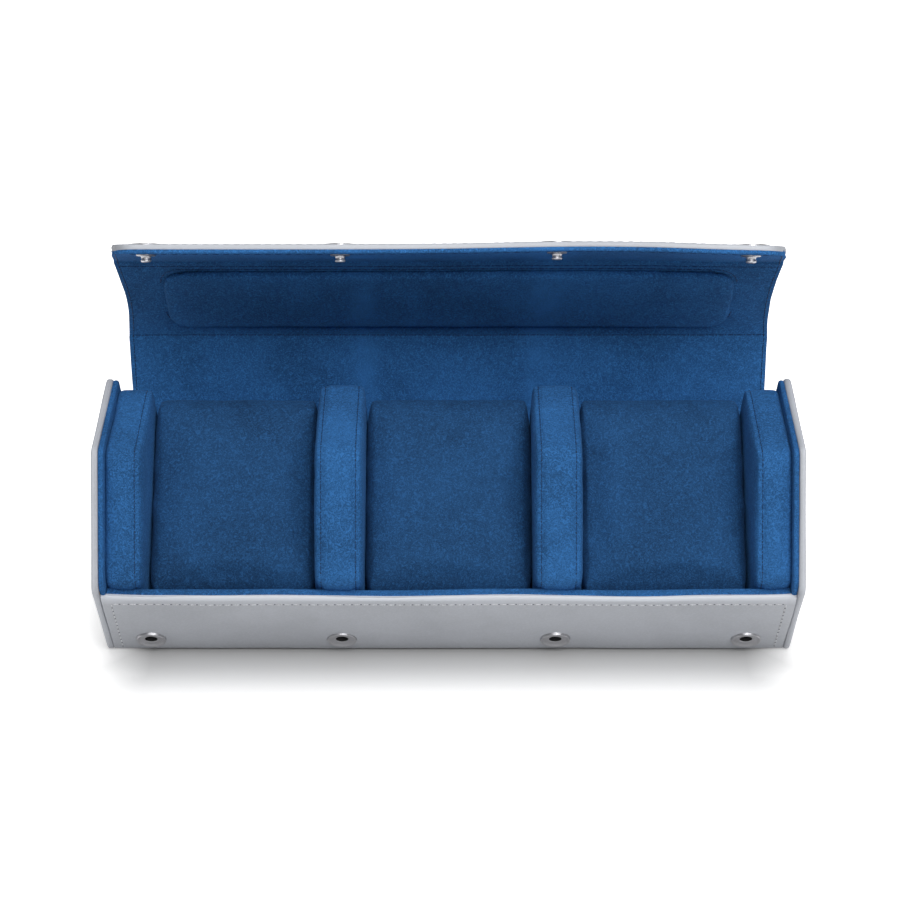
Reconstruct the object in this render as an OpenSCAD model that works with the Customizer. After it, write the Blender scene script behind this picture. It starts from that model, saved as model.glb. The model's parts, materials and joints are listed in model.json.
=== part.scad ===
// Three-slot hexagonal watch travel case, standing open.
// A leather tray between two end caps holds three pillows. A lid of four stiffened panels
// folds over it and snaps onto the front wall.
// Millimetres. X runs along the case, -Y is the front, Z is up.
// The origin is the middle of the base.

/* [Case] */
// Length over the outer faces of the end caps
case_l = 230; // [190:1:280]
// Side of the regular hexagon of the end caps
side = 46; // [38:0.5:56]
// Radius of the hexagon's corners
corner_r = 4; // [3:0.5:6]
// Thickness of the tray walls and the end caps, all layers together
wall = 4; // [3.4:0.1:6]
// Thickness of the outer leather
leather_t = 1.2; // [0.8:0.1:1.4]
// Thickness of the suede lining
lining_t = 1; // [0.6:0.1:1.2]
// Thickness of the padded suede lining of an end cap
end_lining_t = 1.8; // [1:0.1:2]
// Seam between the tray's leather and an end cap
seam = 0.3; // [0.2:0.05:0.5]
// Height of the front rim below the hexagon's widest line
front_drop = 4; // [3:0.5:8]

/* [Padding] */
// Thickness of the pad on each end cap
end_pad_t = 11.5; // [6:0.5:16]
// Depth of the end pads' edge below the rims
end_pad_inset = 2.7; // [2:0.1:4]
// Thickness of a divider
divider_t = 15; // [10:0.5:20]
// Depth of the dividers' edge below the rims
divider_inset = 1.4; // [1:0.1:3]
// Radius of the pads' and dividers' upper corners
pad_r = 5; // [3:0.5:8]
// Thickness of the suede over foam
cover_t = 1.5; // [1:0.1:2]
// Thickness of the board inside a divider
divider_board_t = 3; // [2:0.5:5]

/* [Pillows] */
// Gap between a pillow and the padding on each side
pillow_gap = 0.7; // [0.4:0.1:2]
// Gap between a resting pillow and the floor of the tray
seat_gap = 0.3; // [0.2:0.05:0.5]
// Depth of the pillow's watch face below the hexagon's sides
face_depth = 23; // [18:0.5:26]
// Direction that the watch face looks in, from the back and up
face_a = 128; // [120:1:145]
// Depth of the pillow's upper back below the hexagon's side
pillow_back = 2.2; // [1.6:0.1:6]
// Depth of the pillow's lower back below the hexagon's side
pillow_low_back = 8; // [6.5:0.5:12]
// Gap between the pillow and the front wall
pillow_front_gap = 1.5; // [0.5:0.1:4]

/* [Lid] */
// Thickness of a lid panel, all layers together
lid_t = 4; // [3.4:0.1:5]
// Thickness of the flap, all layers together
flap_t = 3.2; // [2.8:0.1:3.4]
// Gap between the closed lid and the rims
lid_gap = 0.9; // [0.8:0.05:1.2]
// Overhang of the lid past each end cap
lid_over = 0.5; // [0:0.1:1.5]
// Length of the flap from its fold to its free edge
flap_l = 45.5; // [43:0.5:48]
// Radius of the flap's free corners
flap_r = 5; // [2:0.5:10]
// Radius of the leather roll in each fold
fold_r = 1; // [0.8:0.1:1.2]
// Running gap between a roll and the panels
fold_gap = 0.3; // [0.2:0.05:0.5]
// Width of the leather left round a stiffener board
edge_w = 2; // [1.5:0.1:4]

/* [Lid pad] */
// Length of the raised pad inside the lid
lid_pad_l = 199; // [150:1:210]
// Width of the raised pad, across the panel
lid_pad_w = 36; // [20:1:38]
// Thickness of the raised pad
lid_pad_t = 2.8; // [1.5:0.1:3]
// Distance from the fold to the raised pad
lid_pad_edge = 9; // [6:0.5:10]
// Radius of the raised pad's corners
lid_pad_r = 8; // [2:0.5:12]
// Thickness of the suede over the raised pad
lid_cover_t = 0.8; // [0.5:0.1:1]

/* [Snaps] */
// Distance of a snap from the widest line, down the front wall
snap_drop = 37; // [30:0.5:40]
// Distance of the outer snaps from the end of the case
snap_margin = 15.5; // [12:0.5:40]
// Diameter of the socket ring
ring_d = 10; // [8:0.5:11]
// Height of the socket ring above the leather
ring_h = 0.7; // [0.5:0.05:0.9]
// Diameter of the socket hole
socket_d = 5.2; // [4.8:0.1:6]
// Diameter of the stud
stud_d = 4; // [3.4:0.1:4.2]
// Diameter of the cap on the flap's outside
cap_d = 12; // [9:0.5:14]

/* [Lid position] */
// Turn of the lid's back panel away from its closed place
lid_open = 150; // [0:1:150]
// Angle between the back panel and the top panel
top_turn = 114; // [60:1:114]
// Angle between the top panel and the front panel
front_turn = 37; // [37:1:60]
// Angle between the front panel and the flap
flap_turn = 28; // [28:1:60]

/* [Hidden] */

$fn = 48;
ARC_STEPS = 5;
BIG = 600;

LEATHER = [0.66, 0.67, 0.69];
SUEDE = [0.09, 0.25, 0.48];
BOARD = [0.72, 0.62, 0.48];
FOAM = [0.85, 0.84, 0.78];
STEEL = [0.78, 0.78, 0.8];

// Directions that the hexagon's sides face, in the YZ plane from +Y towards +Z
BACK_UP = 30;
TOP = 90;
FRONT_UP = 150;
FRONT_LOW = 210;
BASE = 270;
BACK_LOW = 330;

apothem = side * cos(30);
board_t = wall - leather_t - lining_t;
end_board_t = wall - leather_t - end_lining_t;
tray_l = case_l - 2 * wall - 2 * seam;
slot_l = (case_l - 2 * wall - 2 * end_pad_t - 2 * divider_t) / 3;
divider_x = slot_l / 2 + divider_t / 2;
pillow_l = slot_l - 2 * pillow_gap;
// Depth of a divider's board below its cover
foam_gap = 6;
// Radii of the pillow's corners, from the lower back round by the top to the lower front
PILLOW_R = [12, 18, 9, 8, 10];

lid_l = case_l + 2 * lid_over;
// Distance of the lid's folds from the hexagon's sides, measured from the middle
pivot_apothem = apothem + lid_gap + lid_t - fold_r;
panel_w = pivot_apothem / cos(30);
// The tray's own fold lies just inside the back corner of the hexagon
tray_fold_in = 1.2;
tray_fold_y = side - tray_fold_in;
tray_fold_apothem = tray_fold_y * cos(30);
// Depth, below the tray fold's plane, of the back panel's two faces and its far fold
back_inner = tray_fold_apothem - apothem - lid_gap;
back_outer = back_inner - lid_t;
back_pivot = tray_fold_apothem - pivot_apothem;
back_w = panel_w / 2 + tray_fold_y / 2;
// Depth of the layers of the other panels below their folds
panel_outer = -fold_r;
panel_inner = lid_t - fold_r;
flap_inner = flap_t - fold_r;
lid_board_t = lid_t - leather_t - lining_t;
flap_board_t = flap_t - leather_t - lining_t;
// A panel's blunt end at a fold, and the extra gap of its mitre
nose = fold_r + fold_gap;
miter = fold_gap / 2;
// The largest turn of each fold
WIDEST_TURN = 114;
CLOSED_TURN = 60;
wide_slope = tan(WIDEST_TURN / 2);
closed_slope = tan(CLOSED_TURN / 2);
// The back panel's end at the tray, and the leather tongue that reaches its fold
back_nose = tray_fold_in + fold_r / 2;
tongue_gap = 0.4;
tongue_y = fold_r + tongue_gap;
tongue_top = -0.2;

snap_outer_x = case_l / 2 - snap_margin;
SNAP_X = [-snap_outer_x, -divider_x, divider_x, snap_outer_x];
// The flap lies parallel to the front wall, but its fold is further out
snap_u = snap_drop + (panel_w - side) / 2;
cup_d = 8;
cup_depth = 2.4;
cup_floor = 0.3;
post_t = wall - lining_t - cup_depth;
// The stud stands on a base that stops just short of the socket's ring
flap_rise = lid_gap + lid_t - flap_t;
ring_clear = 0.1;
stud_base_d = 8.5;
stud_base_t = flap_rise - ring_h - ring_clear;
stud_reach = 1.5;
stud_l = stud_reach + ring_h + ring_clear;
stud_lip = 0.3;
neck_d = stud_d - 2 * stud_lip;
stem_d = 3.4;
cap_h = 1.2;

// ---- Outlines in the YZ plane, as points [y, z] about the middle of the hexagon ----

// Where two lines meet, each given by the direction that it faces and its distance
function meet(a1, d1, a2, d2) =
    [d1 * sin(a2) - d2 * sin(a1), d2 * cos(a1) - d1 * cos(a2)] / sin(a2 - a1);

// Outline between lines, from the directions that they face and their distances
function outline(faces, dists) = let (n = len(faces))
    [for (i = [0:n - 1]) meet(faces[i], dists[i], faces[(i + 1) % n], dists[(i + 1) % n])];

// Hexagon with insets for its top and upper back, its upper front and its three lower sides
function hexagon(upper, front, lower) = outline(
    [BACK_UP, TOP, FRONT_UP, FRONT_LOW, BASE, BACK_LOW],
    [for (inset = [upper, upper, front, lower, lower, lower]) apothem - inset]);

function unit(v) = v / norm(v);
function turned(v, a) = [v.x * cos(a) - v.y * sin(a), v.x * sin(a) + v.y * cos(a)];

// Points of the arc of radius r that rounds corner p between neighbours a and b
function corner_arc(a, p, b, r) = let (
        e = unit(a - p),
        f = unit(b - p),
        half = acos(e * f) / 2,
        mid = p + unit(e + f) * r / sin(half),
        start = p + e * r / tan(half) - mid,
        bend = sign(cross(p - a, b - p)) * (180 - 2 * half))
    [for (k = [0:ARC_STEPS]) mid + turned(start, bend * k / ARC_STEPS)];

// Outline with its corners rounded to the radii in r, where 0 leaves a corner sharp
function rounded(pts, r) = let (n = len(pts))
    [for (i = [0:n - 1]) each r[i] == 0 ? [pts[i]]
        : corner_arc(pts[(i + n - 1) % n], pts[i], pts[(i + 1) % n], r[i])];

function all_round(pts, r) = rounded(pts, [for (p = pts) r]);

// ---- Placing ----

// An outline [y, z] drawn out along X, centred on x
module bar(l, pts, x = 0) {
    translate([x - l / 2, 0, 0]) rotate([90, 0, 90]) linear_extrude(height = l) polygon(pts);
}

// Moves the outlines' middle up to its height above the base
module about_middle() {
    translate([0, 0, apothem]) children();
}

// Turns a shape so that its +Z looks along a side's direction and its z = 0 lies on the side
module on_side(face) {
    about_middle() rotate([face - 90, 0, 0]) translate([0, 0, apothem]) children();
}

module at_ends(right) {
    mirror([right ? 0 : 1, 0, 0]) children();
}

// A shell between two insets of the hexagon, cut off at the front and back rims
module tray_shell(outer, inner, front_top, back_top) {
    intersection() {
        about_middle() difference() {
            bar(tray_l, all_round(hexagon(outer, outer, outer), corner_r - outer / 2));
            bar(tray_l + 1, hexagon(inner, inner, inner));
        }
        union() {
            translate([-BIG / 2, -BIG, -1]) cube([BIG, BIG, front_top + 1]);
            translate([-BIG / 2, 0, -1]) cube([BIG, BIG, back_top + 1]);
        }
    }
}

front_top = apothem - front_drop;
back_top = apothem - fold_r - fold_gap / 2;

// ---- Tray ----

module snap_holes(d, depth) {
    on_side(FRONT_LOW) for (x = SNAP_X)
        translate([x, side / 2 - snap_drop, -depth]) cylinder(d = d, h = depth + 1);
}

module tray_leather() {
    color(LEATHER) difference() {
        tray_shell(0, leather_t, front_top, back_top);
        snap_holes(cup_d, leather_t + 1);
    }
}

module tray_board(face, w, shift = 0) {
    color(BOARD) on_side(face) translate([-tray_l / 2 + edge_w, shift - w / 2, -leather_t - board_t])
        cube([tray_l - 2 * edge_w, w, board_t]);
}

board_w = (apothem - wall) * 2 * tan(30);
// The front and back boards stop below the turned-over lining of their rims
front_board_w = board_w - front_drop - 2 * lining_t;
back_board_w = board_w - (apothem - back_top) - 2 * lining_t;

module base_board() {
    tray_board(BASE, board_w);
}

module front_board() {
    difference() {
        tray_board(FRONT_LOW, front_board_w, (front_board_w - board_w) / 2);
        snap_holes(cup_d, cup_depth);
        on_side(FRONT_LOW) for (x = SNAP_X)
            translate([x, side / 2 - snap_drop, -wall + lining_t]) cylinder(d = ring_d, h = post_t);
    }
}

module back_board() {
    tray_board(BACK_LOW, back_board_w, (board_w - back_board_w) / 2);
}

module tray_lining() {
    color(SUEDE) {
        tray_shell(wall - lining_t, wall, front_top, back_top);
        difference() {
            tray_shell(leather_t, wall, front_top, back_top);
            translate([-BIG / 2, -BIG, -1]) cube([BIG, BIG, front_top - lining_t + 1]);
            translate([-BIG / 2, 0, -1]) cube([BIG, BIG, back_top - lining_t + 1]);
        }
    }
}

module tray_fold() {
    color(LEATHER) translate([-tray_l / 2, tray_fold_y, apothem]) rotate([0, 90, 0])
        cylinder(r = fold_r, h = tray_l);
}

// ---- End caps ----

module end_layer(inset, x_in, t) {
    about_middle() bar(t, all_round(hexagon(inset, inset, inset), corner_r), x_in + t / 2);
}

module end_leather(right) {
    color(LEATHER) at_ends(right) difference() {
        end_layer(0, case_l / 2 - leather_t - end_board_t, leather_t + end_board_t);
        end_layer(leather_t, case_l / 2 - leather_t - end_board_t - 1, end_board_t + 1);
    }
}

module end_board(right) {
    color(BOARD) at_ends(right)
        end_layer(leather_t, case_l / 2 - leather_t - end_board_t, end_board_t);
}

module end_lining(right) {
    color(SUEDE) at_ends(right) end_layer(seam, case_l / 2 - wall, end_lining_t);
}

// Outline of a pad or divider that fills the tray and stands a little below the rims
function pad_outline(upper, front, less) = rounded(
    hexagon(upper + less, front + less, wall + less),
    [pad_r, pad_r, pad_r, corner_r, corner_r, corner_r]);

// The pads' front edge leaves room for the raised pad of the closed lid
lid_pad_clear = 1.2;
front_inset = lid_pad_t - lid_gap + lid_pad_clear;

module padded(l, upper, x) {
    about_middle() difference() {
        bar(l, pad_outline(upper, front_inset, 0), x);
        bar(l - 2 * cover_t, pad_outline(upper, front_inset, cover_t), x);
    }
}

end_pad_x = case_l / 2 - wall - end_pad_t / 2;

module end_pad(right) {
    color(SUEDE) at_ends(right) padded(end_pad_t, end_pad_inset, end_pad_x);
}

module end_foam(right) {
    color(FOAM) at_ends(right) about_middle()
        bar(end_pad_t - 2 * cover_t, pad_outline(end_pad_inset, front_inset, cover_t), end_pad_x);
}

// ---- Dividers ----

module divider(right) {
    color(SUEDE) at_ends(right) about_middle() difference() {
        bar(divider_t, pad_outline(divider_inset, front_inset, 0), divider_x);
        bar(divider_board_t, pad_outline(divider_inset, front_inset, foam_gap), divider_x);
    }
}

module divider_board(right) {
    color(BOARD) at_ends(right) about_middle()
        bar(divider_board_t, pad_outline(divider_inset, front_inset, foam_gap), divider_x);
}

// ---- Pillows ----

function pillow_outline(less) = rounded(
    outline([BASE, BACK_LOW, BACK_UP, face_a, FRONT_LOW],
        [for (inset = [wall + seat_gap, pillow_low_back, pillow_back, face_depth,
                       wall + pillow_front_gap]) apothem - inset - less]),
    [for (r = PILLOW_R) r - less]);

module pillow(x) {
    color(SUEDE) about_middle() difference() {
        bar(pillow_l, pillow_outline(0), x);
        bar(pillow_l - 2 * cover_t, pillow_outline(cover_t), x);
    }
}

module pillow_foam(x) {
    color(FOAM) about_middle() bar(pillow_l - 2 * cover_t, pillow_outline(cover_t), x);
}

slot_x = slot_l + divider_t;

// ---- Snaps in the front wall ----

module snap_sockets() {
    color(STEEL) on_side(FRONT_LOW) for (x = SNAP_X)
        translate([x, side / 2 - snap_drop, 0]) difference() {
            union() {
                translate([0, 0, -cup_depth]) cylinder(d = cup_d, h = cup_depth);
                cylinder(d = ring_d, h = ring_h / 2);
                rotate_extrude() translate([ring_d / 2 - ring_h, ring_h / 2])
                    intersection() {
                        circle(r = ring_h / 2, $fn = 24);
                        square([ring_h, ring_h / 2]);
                    }
                cylinder(d = ring_d - 2 * ring_h, h = ring_h);
            }
            translate([0, 0, cup_floor - cup_depth]) cylinder(d = socket_d, h = cup_depth + BIG);
        }
}

module snap_posts() {
    color(STEEL) on_side(FRONT_LOW) for (x = SNAP_X)
        translate([x, side / 2 - snap_drop, -wall + lining_t]) cylinder(d = ring_d, h = post_t);
}

// ---- Lid panels: y runs from fold to fold, z runs inwards, 0 at the fold ----

// Outline of a panel from its first fold to its last, with the slope of each end's mitre
function panel_outline(first, last) =
    [[nose, panel_outer], [panel_w - nose, panel_outer],
     [panel_w - nose, (nose - miter) / last], [panel_w - miter - panel_inner * last, panel_inner],
     [miter + panel_inner * first, panel_inner], [nose, (nose - miter) / first]];

back_outline =
    [[back_nose, back_outer], [back_w - nose, back_outer],
     [back_w - nose, back_pivot + (nose - miter) / wide_slope],
     [back_w - miter - panel_inner * wide_slope, back_inner], [back_nose, back_inner]];
top_outline = panel_outline(wide_slope, closed_slope);
front_outline = panel_outline(closed_slope, closed_slope);
flap_outline = rounded(
    [[nose, panel_outer], [flap_l, panel_outer], [flap_l, flap_inner],
     [max(nose, miter + flap_inner * closed_slope), flap_inner]],
    [0, 1, 1, 0]);

module at_back_panel() {
    translate([0, tray_fold_y, apothem]) rotate([120 - lid_open, 0, 0]) children();
}

module at_top_panel() {
    at_back_panel() translate([0, back_w, back_pivot]) rotate([top_turn, 0, 0]) children();
}

module at_front_panel() {
    at_top_panel() translate([0, panel_w, 0]) rotate([front_turn, 0, 0]) children();
}

module at_flap() {
    at_front_panel() translate([0, panel_w, 0]) rotate([flap_turn, 0, 0]) children();
}

// The slice of a panel between two depths
module slice(pts, low, high) {
    intersection() {
        bar(lid_l, pts);
        translate([-BIG / 2, -BIG / 2, low]) cube([BIG, BIG, high - low]);
    }
}

// A stiffener board between two ends of the leather, from the depth of its outer face
module stiffener(first, last, low, t) {
    translate([-lid_l / 2 + edge_w, first + edge_w, low])
        cube([lid_l - 2 * edge_w, last - first - 2 * edge_w, t]);
}

module panel_leather(pts, outer, t, first, last) {
    color(LEATHER) difference() {
        slice(pts, outer, outer + t);
        stiffener(first, last, outer + leather_t, t);
    }
}

module panel_board(outer, t, first, last) {
    color(BOARD) stiffener(first, last, outer + leather_t, t - leather_t);
}

module roll() {
    color(LEATHER) translate([-lid_l / 2, 0, 0]) rotate([0, 90, 0]) cylinder(r = fold_r, h = lid_l);
}

// Thickness of a panel and of the flap without their lining
shell_t = lid_t - lining_t;
flap_shell_t = flap_t - lining_t;
// Where the boards' pockets may reach, next to the mitre of the widest fold
wide_end = miter + (shell_t - fold_r) * wide_slope;

// ---- Back panel ----

module back_panel_leather() {
    at_back_panel() {
        panel_leather(back_outline, back_outer, shell_t, back_nose, back_w - wide_end);
        color(LEATHER) translate([-tray_l / 2, tongue_y, back_inner - lining_t])
            cube([tray_l, leather_t, tongue_top - back_inner + lining_t]);
    }
}

module back_panel_board() {
    at_back_panel() panel_board(back_outer, shell_t, back_nose, back_w - wide_end);
}

module back_panel_lining() {
    at_back_panel() color(SUEDE) difference() {
        slice(back_outline, back_inner - lining_t, back_inner);
        translate([-tray_l / 2, 0, back_inner - BIG / 2])
            cube([tray_l, tongue_y + leather_t, BIG]);
    }
}

module back_fold() {
    at_top_panel() roll();
}

// ---- Top panel ----

module top_panel_leather() {
    at_top_panel() panel_leather(top_outline, panel_outer, shell_t, wide_end, panel_w - nose);
}

module top_panel_board() {
    at_top_panel() panel_board(panel_outer, shell_t, wide_end, panel_w - nose);
}

module top_panel_lining() {
    at_top_panel() color(SUEDE) slice(top_outline, panel_inner - lining_t, panel_inner);
}

module top_fold() {
    at_front_panel() roll();
}

// ---- Front panel, with the raised pad ----

module front_panel_leather() {
    at_front_panel() panel_leather(front_outline, panel_outer, shell_t, nose, panel_w - nose);
}

module front_panel_board() {
    at_front_panel() panel_board(panel_outer, shell_t, nose, panel_w - nose);
}

module front_panel_lining() {
    at_front_panel() color(SUEDE) slice(front_outline, panel_inner - lining_t, panel_inner);
}

module front_fold() {
    at_flap() roll();
}

// Outline of the raised pad, drawn in by less on every side
function pad_plan(less) = let (
        x = lid_pad_l / 2 - less,
        low = lid_pad_edge + less,
        high = lid_pad_edge + lid_pad_w - less)
    all_round([[-x, low], [x, low], [x, high], [-x, high]], lid_pad_r - less);

module lid_pad() {
    at_front_panel() color(SUEDE) translate([0, 0, panel_inner]) difference() {
        linear_extrude(height = lid_pad_t) polygon(pad_plan(0));
        translate([0, 0, -1]) linear_extrude(height = lid_pad_t - lid_cover_t + 1)
            polygon(pad_plan(lid_cover_t));
    }
}

module lid_pad_foam() {
    at_front_panel() color(FOAM) translate([0, 0, panel_inner])
        linear_extrude(height = lid_pad_t - lid_cover_t) polygon(pad_plan(lid_cover_t));
}

// ---- Flap ----

flap_plan = let (x = lid_l / 2)
    rounded([[-x, 0], [x, 0], [x, flap_l], [-x, flap_l]], [0, 0, flap_r, flap_r]);

// Keeps what lies inside the flap's plan, and drills it for the caps' stems
module flap_cut() {
    difference() {
        intersection() {
            children();
            translate([0, 0, -BIG / 2]) linear_extrude(height = BIG) polygon(flap_plan);
        }
        for (x = SNAP_X)
            translate([x, snap_u, -BIG / 2]) cylinder(d = stem_d, h = BIG);
    }
}

module flap_leather() {
    at_flap() color(LEATHER) flap_cut()
        panel_leather(flap_outline, panel_outer, flap_shell_t, nose, flap_l);
}

module flap_board() {
    at_flap() color(BOARD) flap_cut() panel_board(panel_outer, flap_shell_t, nose, flap_l);
}

module flap_lining() {
    at_flap() color(SUEDE) flap_cut() slice(flap_outline, flap_inner - lining_t, flap_inner);
}

// Radius of the sphere that a cap's dome is cut from
dome_r = (pow(cap_d / 2, 2) + pow(cap_h, 2)) / (2 * cap_h);

module flap_caps() {
    at_flap() color(STEEL) for (x = SNAP_X) translate([x, snap_u, panel_outer]) {
        intersection() {
            translate([0, 0, dome_r - cap_h]) sphere(r = dome_r, $fn = 96);
            translate([0, 0, -cap_h]) cylinder(d = cap_d, h = cap_h);
        }
        cylinder(d = stem_d, h = flap_t);
    }
}

module flap_studs() {
    at_flap() color(STEEL) for (x = SNAP_X) translate([x, snap_u, flap_inner]) {
        cylinder(d = stud_base_d, h = stud_base_t);
        translate([0, 0, stud_base_t]) cylinder(d = neck_d, h = stud_l);
        translate([0, 0, stud_base_t + stud_l - stud_reach])
            cylinder(d = stud_d, h = stud_reach);
    }
}

base_board();
front_board();
back_board();
tray_leather();
tray_lining();
tray_fold();
snap_sockets();
snap_posts();
end_leather(false);  // left_end_leather
end_board(false);  // left_end_board
end_lining(false);  // left_end_lining
end_pad(false);  // left_end_pad
end_foam(false);  // left_end_foam
end_leather(true);  // right_end_leather
end_board(true);  // right_end_board
end_lining(true);  // right_end_lining
end_pad(true);  // right_end_pad
end_foam(true);  // right_end_foam
divider(false);  // left_divider
divider_board(false);  // left_divider_board
divider(true);  // right_divider
divider_board(true);  // right_divider_board
pillow(-slot_x);  // left_pillow
pillow_foam(-slot_x);  // left_pillow_foam
pillow(0);  // middle_pillow
pillow_foam(0);  // middle_pillow_foam
pillow(slot_x);  // right_pillow
pillow_foam(slot_x);  // right_pillow_foam
back_panel_leather();
back_panel_board();
back_panel_lining();
back_fold();
top_panel_leather();
top_panel_board();
top_panel_lining();
top_fold();
front_panel_leather();
front_panel_board();
front_panel_lining();
front_fold();
lid_pad();
lid_pad_foam();
flap_leather();
flap_board();
flap_lining();
flap_caps();
flap_studs();
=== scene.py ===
"""Watch travel case, standing open: leather wrap, suede linings, soft pads, snaps and stitching."""

import json
import math

import bmesh
import bpy
from mathutils import Matrix, Vector, noise
from mathutils.bvhtree import BVHTree


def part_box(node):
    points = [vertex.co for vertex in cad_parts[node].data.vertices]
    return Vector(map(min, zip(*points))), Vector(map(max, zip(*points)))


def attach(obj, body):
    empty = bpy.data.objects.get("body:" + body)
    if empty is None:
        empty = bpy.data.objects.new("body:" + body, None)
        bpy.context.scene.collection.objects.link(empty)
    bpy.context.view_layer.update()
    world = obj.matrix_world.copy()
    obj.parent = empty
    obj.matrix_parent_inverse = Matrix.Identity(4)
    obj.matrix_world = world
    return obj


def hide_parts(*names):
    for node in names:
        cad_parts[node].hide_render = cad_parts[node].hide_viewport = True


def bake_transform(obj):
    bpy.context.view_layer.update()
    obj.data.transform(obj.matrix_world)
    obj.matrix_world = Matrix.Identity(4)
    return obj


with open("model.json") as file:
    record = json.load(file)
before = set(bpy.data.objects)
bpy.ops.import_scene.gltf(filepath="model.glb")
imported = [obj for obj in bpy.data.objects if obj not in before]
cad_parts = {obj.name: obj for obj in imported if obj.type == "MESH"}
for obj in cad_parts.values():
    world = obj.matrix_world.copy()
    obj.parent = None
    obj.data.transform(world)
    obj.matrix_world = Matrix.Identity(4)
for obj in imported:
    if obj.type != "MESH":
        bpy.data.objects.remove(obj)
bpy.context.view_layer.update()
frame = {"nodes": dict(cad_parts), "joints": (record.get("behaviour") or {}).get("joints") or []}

MM = 0.001

# ---- Sizes of the case, read from the frame ----

HINGES = {j["name"]: j for j in frame["joints"] if j["type"] == "hinge"}
RIGHT_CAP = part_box("right_end_leather")
HALF_CASE = RIGHT_CAP[1].x
APOTHEM = RIGHT_CAP[1].z / 2
COS_30 = math.cos(math.radians(30))
SIDE = APOTHEM / COS_30
HALF_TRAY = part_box("tray_leather")[1].x
HALF_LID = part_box("front_panel_leather")[1].x
LEATHER_T = 1.2 * MM
LINING_T = 1.0 * MM
WALL = 4 * MM
CORNER_R = 4 * MM
FRONT_RIM = -4 * MM
BACK_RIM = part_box("tray_leather")[1].z - APOTHEM

# Directions that the hexagon's sides face, in the YZ plane from +Y towards +Z: the lid's, then the tray's
FRONT_LOW, BASE, BACK_LOW = 210, 270, 330
HEXAGON = (30, 90, 150, FRONT_LOW, BASE, BACK_LOW)

# ---- The lid's panels: pivots and directions at rest ----

FOLD_HINGES = ("lid_hinge", "back_fold_hinge", "top_fold_hinge", "flap_hinge")
PIVOTS = [Vector(HINGES[name]["pos_m"]) for name in FOLD_HINGES]
# The back panel's direction when the case is closed, and the turn from each panel to the next
BACK_CLOSED_A, CLOSED_TURN = 120, 60
BACK_A = BACK_CLOSED_A - HINGES["lid_hinge"]["range_deg"][1]
TOP_A = BACK_A + CLOSED_TURN - HINGES["back_fold_hinge"]["range_deg"][0]
FRONT_A = TOP_A + CLOSED_TURN - HINGES["top_fold_hinge"]["range_deg"][1]
FLAP_A = FRONT_A + CLOSED_TURN - HINGES["flap_hinge"]["range_deg"][1]
PANEL_W = (PIVOTS[2] - PIVOTS[1]).length
FOLD_R = 1 * MM
LID_T = 4 * MM
FLAP_T = 3.2 * MM
FLAP_L = 45.5 * MM


def place(pivot, angle):
    """A panel's own axes, x, y along it from its first fold and z inwards, turned to where it stands."""
    return Matrix.Translation(pivot) @ Matrix.Rotation(math.radians(angle), 4, "X")


AT_BACK = place(PIVOTS[0], BACK_A)
AT_TOP = place(PIVOTS[1], TOP_A)
AT_FRONT = place(PIVOTS[2], FRONT_A)
AT_FLAP = place(PIVOTS[3], FLAP_A)
# How far the back fold's pivot lies inside the back panel's outer side
PIVOT_LIFT = (AT_BACK.inverted() @ PIVOTS[1]).z

# ---- Outlines in the YZ plane ----


def meet(a1, d1, a2, d2):
    """Where two lines meet, each given by the direction that it faces and its distance."""
    a1, a2 = math.radians(a1), math.radians(a2)
    y = d1 * math.sin(a2) - d2 * math.sin(a1)
    z = d2 * math.cos(a1) - d1 * math.cos(a2)
    return Vector((y, z)) / math.sin(a2 - a1)


def on_line(face, distance, z):
    """The point at height z of the line that faces a direction at a distance."""
    a = math.radians(face)
    return Vector(((distance - z * math.sin(a)) / math.cos(a), z))


def rounded(points, radii, steps=6):
    """The outline with its corners rounded."""
    out = []
    for i, (p, r) in enumerate(zip(points, radii)):
        if r == 0:
            out.append(p.copy())
            continue
        before, after = points[i - 1], points[(i + 1) % len(points)]
        e = (before - p).normalized()
        f = (after - p).normalized()
        half = e.angle(f) / 2
        middle = p + (e + f).normalized() * r / math.sin(half)
        start = p + e * r / math.tan(half) - middle
        turn = math.copysign(math.pi - 2 * half, (p - before).cross(after - p))
        for k in range(steps + 1):
            a = turn * k / steps
            c, s = math.cos(a), math.sin(a)
            out.append(middle + Vector((start.x * c - start.y * s, start.x * s + start.y * c)))
    return out


def hexagon(insets, radius):
    """The case's hexagon with rounded corners, drawn in from each side by that side's inset."""
    sides = [(face, APOTHEM - inset) for face, inset in zip(HEXAGON, insets)]
    return rounded([meet(*sides[i - 1], *sides[i]) for i in range(6)], [radius] * 6)


# ---- Building meshes ----


def refined(outline, step):
    """The closed outline with its long stretches divided up."""
    out = []
    for a, b in zip(outline, outline[1:] + outline[:1]):
        count = max(1, math.ceil((b - a).length / step))
        out += [a.lerp(b, k / count) for k in range(count)]
    return out


OUTLINE_STEP = 4 * MM


def bar(outline, x0, x1, cuts, step=OUTLINE_STEP):
    """A bmesh of an outline drawn out along X, cut across at even steps."""
    bm = bmesh.new()
    outline = refined(outline, step)
    face = bm.faces.new([bm.verts.new((x0, p.x, p.y)) for p in outline])
    grown = bmesh.ops.extrude_face_region(bm, geom=[face])
    far = [v for v in grown["geom"] if isinstance(v, bmesh.types.BMVert)]
    bmesh.ops.translate(bm, verts=far, vec=(x1 - x0, 0, 0))
    for k in range(1, cuts):
        cut_across(bm, x0 + (x1 - x0) * k / cuts)
    bmesh.ops.recalc_face_normals(bm, faces=bm.faces)
    if bm.calc_volume(signed=True) < 0:
        bmesh.ops.reverse_faces(bm, faces=bm.faces)
    return bm


def cut_across(bm, x):
    """Cuts a mesh across at an X."""
    everything = bm.verts[:] + bm.edges[:] + bm.faces[:]
    bmesh.ops.bisect_plane(bm, geom=everything, plane_co=(x, 0, 0), plane_no=(1, 0, 0))


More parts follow.
